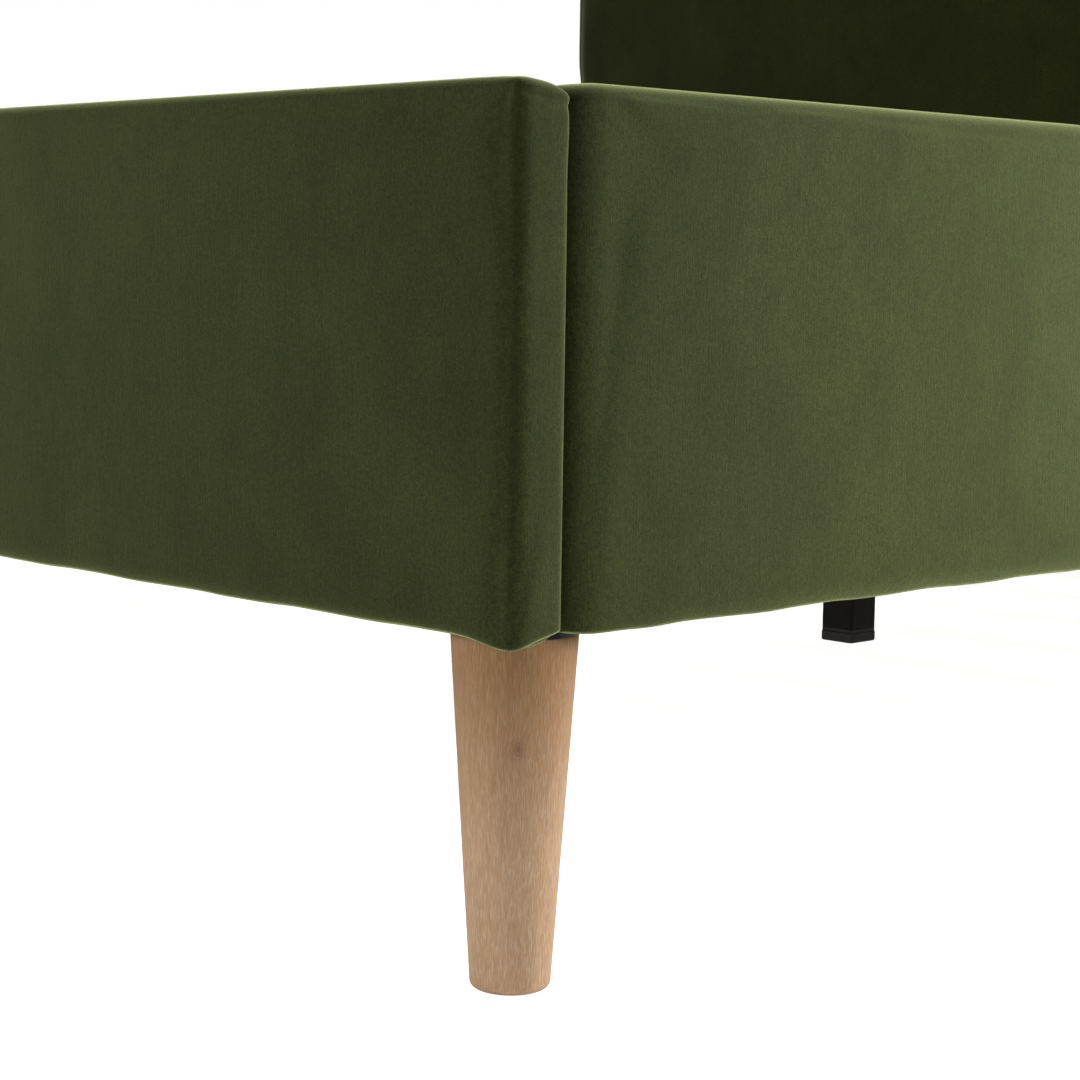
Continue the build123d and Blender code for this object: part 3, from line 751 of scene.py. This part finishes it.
def build_headboard(fabric):
    place = panel_places()["headboard"]
    narrow = panel_places()["footboard"].length / 2
    swell = fabric.head_swell
    curve = fabric.head_round
    low = (-narrow - 0.0015, swell * 0.6, -0.0005)
    high = (narrow + 0.0015, place.thickness - 0.0008, place.height - 0.0015)
    obj = start_panel(
        "headboard_velvet", place, low, high, (curve, curve, 0.004), (curve, 0.008, curve),
        (0.006, 0.006, 0.006), (0.026, 0.012, 0.024),
    )
    rest = read_points(obj.data)
    stapled = (rest[:, 1] > place.thickness - 2 * BACK_BAND) | (rest[:, 2] < BOTTOM_BAND)
    stapled |= (rest[:, 2] < BEHIND_RAILS) & (rest[:, 1] < swell)
    inflate(obj, stapled, swell)
    points = read_points(obj.data)
    points[:, 0] = np.clip(points[:, 0], -narrow - 0.0025, narrow + 0.0025)
    widen_headboard(points, rest, place, fabric, narrow)
    uneven_bottom(points, rest, 0.0008, 0.010)
    write_points(obj.data, points)
    refine(obj)
    give_finish(obj, made_before("velvet"))
    finish_panel(obj, "headboard")


# ---- linings ----

def lining_sheet(name, node, outward):
    """A stapled lining: nearly flat, with shallow pulls between its staples."""
    low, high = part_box(node)
    across = UP.cross(outward)
    centre = (low + high) / 2 + outward * (abs((high - low).dot(outward)) / 2 + 0.0002)
    width = abs((high - low).dot(across))
    height = high.z - low.z
    columns = max(8, round(width / 0.02))
    rows = max(8, round(height / 0.02))
    points = []
    for j in range(rows + 1):
        for i in range(columns + 1):
            s = (i / columns - 0.5) * width
            t = (j / rows - 0.5) * height
            edge = min(width / 2 - abs(s), height / 2 - abs(t))
            pull = math.cos(2 * math.pi * (s if edge > height / 2 - abs(t) - 1e-6 else t) / 0.045)
            slack = 0.0005 * eased(edge / 0.05) + 0.0003 * pull * float(near(edge, 0.02))
            points.append(centre + across * s + UP * t + outward * (0.0003 + slack))
    faces = []
    for j in range(rows):
        for i in range(columns):
            a = j * (columns + 1) + i
            faces.append((a, a + 1, a + columns + 2, a + columns + 1))
    obj = new_piece(name, points, faces)
    give_finish(obj, made_before("black_lining"))
    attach(obj, "root")
    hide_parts(node)
    return centre, across, outward, width, height


STAPLE_WIRE = 0.0005
STAPLE_SHOULDER = 0.0006
STAPLE_LEG = 0.001


def add_staple(body, place, along, outward, crown, rise):
    """One staple: a flat wire crown with its two shoulders going into the cloth."""
    up = outward.cross(along)
    half = crown / 2
    rings = []
    path = (
        (-half, -STAPLE_LEG), (-half, rise * 0.6), (-half + STAPLE_SHOULDER, rise),
        (half - STAPLE_SHOULDER, rise), (half, rise * 0.6), (half, -STAPLE_LEG),
    )
    for s, h in path:
        middle = place + along * s + outward * h
        slope = outward if abs(s) == half else along
        side = up * STAPLE_WIRE
        lift = (outward if slope is along else along) * STAPLE_WIRE * 0.6
        corners = ((-1, -1), (1, -1), (1, 1), (-1, 1))
        rings.append([body.verts.new(middle + a * side + b * lift) for a, b in corners])
    for first, second in zip(rings, rings[1:]):
        for k in range(4):
            body.faces.new((first[k], first[(k + 1) % 4], second[(k + 1) % 4], second[k]))
    body.faces.new(rings[0])
    body.faces.new(rings[-1])


def add_staple_rows(body, sheet):
    """Staples all round a lining, evenly spaced and a little off straight."""
    centre, across, outward, width, height = sheet
    margin = 0.009
    spacing = 0.055
    runs = (
        (across, UP, width, height), (across, -UP, width, height),
        (UP, across, height, width), (UP, -across, height, width),
    )
    for along, off, run, other in runs:
        count = max(2, round((run - 2 * margin) / spacing))
        for i in range(count + 1):
            s = (i / count - 0.5) * (run - 2 * margin)
            jitter = 0.0012 * math.sin(7.3 * i + run * 11)
            place = centre + along * s + off * (other / 2 - margin + jitter)
            lean = along + off * 0.10 * math.sin(3.1 * i + other)
            add_staple(body, place + outward * 0.0004, lean.normalized(), outward, 0.010, 0.0012)


def build_linings(fabric):
    lining_finish(fabric)
    sides = {
        "footboard": Vector((0, 1, 0)), "left_rail": Vector((1, 0, 0)), "right_rail": Vector((-1, 0, 0)),
    }
    body = bmesh.new()
    for name, outward in sides.items():
        sheet = lining_sheet(f"{name}_lining_cloth", f"{name}_lining", outward)
        add_staple_rows(body, sheet)
    sheet = lining_sheet("headboard_back_lining", "headboard_back_cloth", Vector((0, 1, 0)))
    add_staple_rows(body, sheet)
    bmesh.ops.recalc_face_normals(body, faces=body.faces)
    staples = new_piece("lining_staples", [], [])
    body.to_mesh(staples.data)
    body.free()
    give_finish(staples, made_before("zinc_steel"))
    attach(staples, "root")


# ---- wooden legs ----

def turned(name, profile, steps=96):
    """A closed form turned about its upright axis from (radius, height) pairs.

    The first and last pair are on the axis.
    """
    body = bmesh.new()
    rings = []
    for radius, height in profile[1:-1]:
        angles = [2 * math.pi * i / steps for i in range(steps)]
        ring = [(radius * math.cos(a), radius * math.sin(a), height) for a in angles]
        rings.append([body.verts.new(p) for p in ring])
    bottom = body.verts.new((0, 0, profile[0][1]))
    top = body.verts.new((0, 0, profile[-1][1]))
    for i in range(steps):
        k = (i + 1) % steps
        body.faces.new((bottom, rings[0][k], rings[0][i]))
        body.faces.new((top, rings[-1][i], rings[-1][k]))
        for lower, upper in zip(rings, rings[1:]):
            body.faces.new((lower[i], lower[k], upper[k], upper[i]))
    obj = new_piece(name, [], [])
    body.to_mesh(obj.data)
    body.free()
    obj.data.shade_smooth()
    obj.data.set_sharp_from_angle(angle=math.radians(50))
    return obj


def leg_profile(wood, top_radius, height):
    """Tapered side, softly rounded sole and a faint bevel under the fixing plate."""
    foot = wood.foot_radius
    soft = wood.foot_round
    slope = (top_radius - foot) / height
    profile = [(0, 0), (foot - soft * 1.6, 0), (foot - soft, 0.0001)]
    for step in range(1, 7):
        angle = math.radians(15 * step)
        out = foot - soft + soft * math.sin(angle) + slope * soft * (1 - math.cos(angle))
        profile.append((out, soft * (1 - math.cos(angle))))
    for share in (0.1, 0.25, 0.4, 0.55, 0.7, 0.85, 0.97):
        z = height * share
        profile.append((foot + slope * z, z))
    bevel = 0.0008
    profile += [(top_radius - bevel * 0.2, height - bevel), (top_radius - bevel, height), (0, height)]
    return profile


def build_wood_legs(wood):
    """The four turned legs, each with its own grain and one knot, from a turn and the knot's height."""
    legs = {
        "front_right_leg": (math.radians(-39), 0.134), "front_left_leg": (2.4, 0.058),
        "rear_right_leg": (1.9, 0.092), "rear_left_leg": (0.8, 0.150),
    }
    for name, (turn, knot_height) in legs.items():
        low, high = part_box(name)
        obj = turned(f"{name}_limed", leg_profile(wood, (high.x - low.x) / 2, high.z))
        centre = Vector(((low.x + high.x) / 2, (low.y + high.y) / 2, 0))
        obj.matrix_world = Matrix.Translation(centre) @ Matrix.Rotation(turn, 4, "Z")
        give_finish(obj, limed_finish(wood, f"limed_wood_{name}", knot_height))
        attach(obj, "root")
        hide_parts(name)


# ---- finishes of the carried-over parts ----

def finish_nodes(slot, material, nodes=None):
    """Gives one finish to every frame part that the record puts in a slot."""
    for subpart in frame["record"]["subparts"]:
        name = subpart["node"]
        if subpart["material_slot"] == slot and (nodes is None or name in nodes):
            give_finish(frame["nodes"][name], material)


def build_deck(fabric, wood):
    """Slats, ledges, blocks, boards and the timbers inside the headboard."""
    finish_nodes("slat_wood", pine_finish(wood, "planed_pine", (1, 0, 0), False))
    finish_nodes("webbing", webbing_finish(fabric))
    along_bed = pine_finish(wood, "sawn_pine_lengthwise", (0, 1, 0), True)
    across_bed = pine_finish(wood, "sawn_pine_crosswise", (1, 0, 0), True)
    upright = pine_finish(wood, "sawn_pine_upright", (0, 0, 1), True)
    finish_nodes("frame_timber", across_bed)
    finish_nodes("frame_timber", along_bed, ("left_slat_ledge", "right_slat_ledge"))
    finish_nodes("frame_timber", upright, ("headboard_left_post", "headboard_right_post", "corner_blocks"))
    finish_nodes("plywood", across_bed, ("footboard_board", "headboard_panel"))
    finish_nodes("plywood", along_bed, ("left_rail_board", "right_rail_board"))


# ---- stage ----

def camera_matrix(stage):
    """The camera's axes from its heading, tilt and roll."""
    turn = Matrix.Rotation(stage.camera_heading, 4, "Z")
    tilt = Matrix.Rotation(math.pi / 2 - stage.camera_tilt, 4, "X")
    roll = Matrix.Rotation(stage.camera_roll, 4, "Z")
    return Matrix.Translation(stage.camera_place) @ turn @ tilt @ roll


def soft_light(name, place, aim, size, power):
    """A round area light that faces a point."""
    light = bpy.data.lights.new(name, "AREA")
    light.shape = "DISK"
    light.size = size
    light.energy = power
    obj = bpy.data.objects.new(name, light)
    obj.location = place
    obj.rotation_mode = "QUATERNION"
    obj.rotation_quaternion = (Vector(aim) - Vector(place)).to_track_quat("-Z", "Y")
    bpy.context.scene.collection.objects.link(obj)


FLOOR_SEEN = 0.86


def seen_or_cast(tree, seen, cast):
    """Shows one shader to the camera and lets the other light the bed."""
    path = tree.nodes.new("ShaderNodeLightPath")
    mix = tree.nodes.new("ShaderNodeMixShader")
    tree.links.new(path.outputs["Is Camera Ray"], mix.inputs[0])
    tree.links.new(cast.outputs[0], mix.inputs[1])
    tree.links.new(seen.outputs[0], mix.inputs[2])
    return mix.outputs[0]


def build_world(stage):
    """White behind the bed, and a dimmer even light on it."""
    world = bpy.data.worlds.new("studio")
    world.use_nodes = True
    tree = world.node_tree
    shown = tree.nodes["Background"]
    shown.inputs["Color"].default_value = (1, 1, 1, 1)
    shown.inputs["Strength"].default_value = 1.0
    light = tree.nodes.new("ShaderNodeBackground")
    light.inputs["Color"].default_value = (1, 1, 1, 1)
    light.inputs["Strength"].default_value = stage.ambient
    tree.links.new(seen_or_cast(tree, shown, light), tree.nodes["World Output"].inputs[0])
    bpy.context.scene.world = world


def build_floor(stage):
    """A wide pale floor that looks nearly white and throws a little light back up."""
    size = 30.0
    points = [(-size, -size, 0), (size, -size, 0), (size, size, 0), (-size, size, 0)]
    floor = new_piece("studio_floor", points, [(0, 1, 2, 3)])
    material, tree, shader, place = start_material("studio_floor")
    cloud = noise(tree, place, 1.5, 2.0)
    pale = [min(1, c * 1.03) for c in stage.floor]
    tone = blended(tree, cloud, stage.floor, pale)
    normal = bumped(tree, noise(tree, place, 300.0), 0.0002, 0.1)
    finish_shader(tree, shader, tone, 0.9, normal, specular_ior_level=0.1)
    glow = tree.nodes.new("ShaderNodeEmission")
    glow.inputs["Strength"].default_value = stage.floor_glow
    shown = tree.nodes.new("ShaderNodeEmission")
    shown.inputs["Strength"].default_value = FLOOR_SEEN
    total = tree.nodes.new("ShaderNodeAddShader")
    tree.links.new(seen_or_cast(tree, shown, glow), total.inputs[0])
    tree.links.new(shader.outputs[0], total.inputs[1])
    tree.links.new(total.outputs[0], tree.nodes["Material Output"].inputs["Surface"])
    give_finish(floor, material)


def build_camera(stage):
    data = bpy.data.cameras.new("camera")
    data.sensor_width = 36
    data.lens = stage.lens
    data.clip_start = 0.05
    data.clip_end = 100
    camera = bpy.data.objects.new("camera", data)
    camera.matrix_world = camera_matrix(stage)
    bpy.context.scene.collection.objects.link(camera)
    bpy.context.scene.camera = camera


def build_lights(stage):
    soft_light("key", (1.65, -0.10, 0.75), (1.0, -0.6, 0.3), 0.7, stage.key_power)
    soft_light("fill_left", (-0.9, -2.4, 0.55), (0.5, -1.1, 0.3), 0.8, stage.fill_power)
    soft_light("fill_middle", (0.5, -3.0, 1.0), (0.8, -1.1, 0.2), 1.0, stage.fill_power)
    soft_light("front", (2.20, -2.25, 0.15), (0.98, -1.05, 0.10), 0.4, stage.front_power)
    soft_light("left", (-3.0, 0.9, 1.0), (-1.0, 0.0, 0.3), 1.6, stage.left_power)
    soft_light("back", (-1.2, 4.6, 2.8), (0.0, 1.0, 0.5), 2.4, stage.back_power)
    lamp = bpy.data.lights.new("deck", "SPOT")
    lamp.energy = stage.deck_power
    lamp.spot_size = math.radians(60)
    lamp.spot_blend = 0.5
    lamp.shadow_soft_size = 0.3
    obj = bpy.data.objects.new("deck", lamp)
    obj.location = (0.25, -0.30, 2.6)
    bpy.context.scene.collection.objects.link(obj)


# ---- operators ----

class BED_OT_footboard(bpy.types.Operator):
    """Upholsters the footboard in velvet"""
    bl_idname = "bed.footboard"
    bl_label = "Footboard"

    def execute(self, context):
        build_footboard(context.scene.bed_fabric)
        return {"FINISHED"}


class BED_OT_rails(bpy.types.Operator):
    """Upholsters the two side rails in velvet"""
    bl_idname = "bed.rails"
    bl_label = "Side rails"

    def execute(self, context):
        for name in ("left_rail", "right_rail"):
            build_rail(name, context.scene.bed_fabric)
        return {"FINISHED"}


class BED_OT_headboard(bpy.types.Operator):
    """Upholsters the headboard in velvet"""
    bl_idname = "bed.headboard"
    bl_label = "Headboard"

    def execute(self, context):
        build_headboard(context.scene.bed_fabric)
        return {"FINISHED"}


class BED_OT_metal_and_plastic(bpy.types.Operator):
    """Finishes the steel and plastic parts"""
    bl_idname = "bed.metal_and_plastic"
    bl_label = "Metal and plastic"

    def execute(self, context):
        finish_nodes("black_steel", powder_finish())
        finish_nodes("zinc_steel", zinc_finish())
        finish_nodes("black_plastic", plastic_finish())
        return {"FINISHED"}


class BED_OT_linings(bpy.types.Operator):
    """Staples the black linings inside the panels and behind the headboard"""
    bl_idname = "bed.linings"
    bl_label = "Linings"

    def execute(self, context):
        build_linings(context.scene.bed_fabric)
        return {"FINISHED"}


class BED_OT_legs(bpy.types.Operator):
    """Turns the four limed legs"""
    bl_idname = "bed.legs"
    bl_label = "Wooden legs"

    def execute(self, context):
        build_wood_legs(context.scene.bed_wood)
        return {"FINISHED"}


class BED_OT_deck(bpy.types.Operator):
    """Finishes the slats, tapes, ledges and frame timbers"""
    bl_idname = "bed.deck"
    bl_label = "Slat deck"

    def execute(self, context):
        build_deck(context.scene.bed_fabric, context.scene.bed_wood)
        return {"FINISHED"}


class BED_OT_stage(bpy.types.Operator):
    """Sets up the floor, lights, background and camera"""
    bl_idname = "bed.stage"
    bl_label = "Stage"

    def execute(self, context):
        stage = context.scene.bed_stage
        build_world(stage)
        build_floor(stage)
        build_lights(stage)
        build_camera(stage)
        context.scene.view_settings.view_transform = "Standard"
        return {"FINISHED"}


class BED_PT_builder(bpy.types.Panel):
    """Lists the bed's pieces and their settings"""
    bl_idname = "BED_PT_builder"
    bl_label = "Upholstered bed"
    bl_space_type = "VIEW_3D"
    bl_region_type = "UI"
    bl_category = "Bed"

    def draw(self, context):
        layout = self.layout
        for operator in PIECES:
            layout.operator(operator.bl_idname)
        for settings in (context.scene.bed_fabric, context.scene.bed_wood, context.scene.bed_stage):
            box = layout.box()
            for name in settings.__annotations__:
                box.prop(settings, name)


SETTINGS = {"bed_fabric": BedFabricSettings, "bed_wood": BedWoodSettings, "bed_stage": BedStageSettings}
PIECES = (
    BED_OT_footboard, BED_OT_rails, BED_OT_headboard, BED_OT_metal_and_plastic,
    BED_OT_linings, BED_OT_legs, BED_OT_deck, BED_OT_stage,
)


def register():
    for name, kind in SETTINGS.items():
        bpy.utils.register_class(kind)
        setattr(bpy.types.Scene, name, PointerProperty(type=kind))
    for kind in (*PIECES, BED_PT_builder):
        bpy.utils.register_class(kind)


def unregister():
    for kind in (BED_PT_builder, *reversed(PIECES)):
        bpy.utils.unregister_class(kind)
    for name, kind in SETTINGS.items():
        delattr(bpy.types.Scene, name)
        bpy.utils.unregister_class(kind)


def main():
    register()
    bpy.ops.bed.footboard()
    bpy.ops.bed.rails()
    bpy.ops.bed.headboard()
    bpy.ops.bed.metal_and_plastic()
    bpy.ops.bed.linings()
    bpy.ops.bed.legs()
    bpy.ops.bed.deck()
    bpy.ops.bed.stage()


if __name__ == "__main__":
    main()
